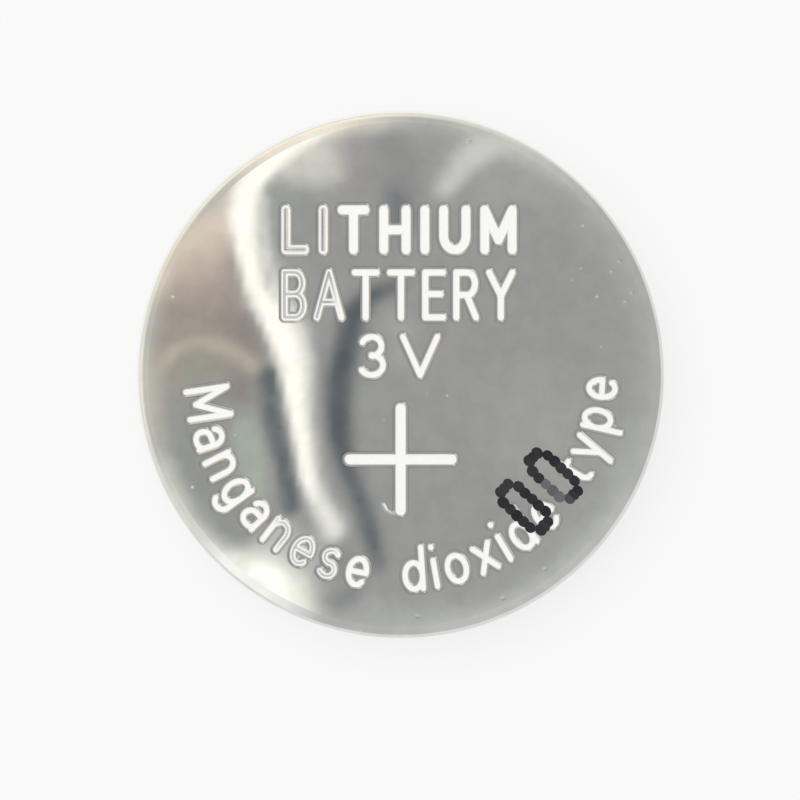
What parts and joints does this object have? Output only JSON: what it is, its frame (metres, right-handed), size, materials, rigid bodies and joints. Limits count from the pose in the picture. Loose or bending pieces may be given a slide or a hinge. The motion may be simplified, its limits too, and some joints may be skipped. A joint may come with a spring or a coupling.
{
  "type": "lithium coin cell",
  "caption": "Flat round lithium coin cell: a steel can stamped with a plus on its positive face, crimped over a plastic gasket and a stepped steel negative cap.",
  "frame": {"origin": "centre of the negative face, which the cell lies on", "axes": "+Z through the cell's thickness, from the negative face up to the positive face; the plus mark lies towards -Y, so that +Y is up when the face is read"},
  "size_m": [0.02, 0.02, 0.0032],
  "materials": {
    "can_steel": "satin, nearly bright, nickel-plated",
    "cap_steel": "fine matt, nickel-plated",
    "gasket_plastic": "matt moulded polypropylene",
    "cathode": "matt pressed powder",
    "collector_steel": "satin stainless sheet",
    "separator_felt": "matt non-woven",
    "lithium": "soft satin metal",
    "marking_ink": "dried printing ink"
  },
  "bodies": {
    "root": {"positive_can": "can_steel", "negative_cap": "cap_steel", "gasket": "gasket_plastic", "cathode_pellet": "cathode", "cathode_ring": "collector_steel", "separator": "separator_felt", "lithium_disc": "lithium"}
  },
  "joints": []
}
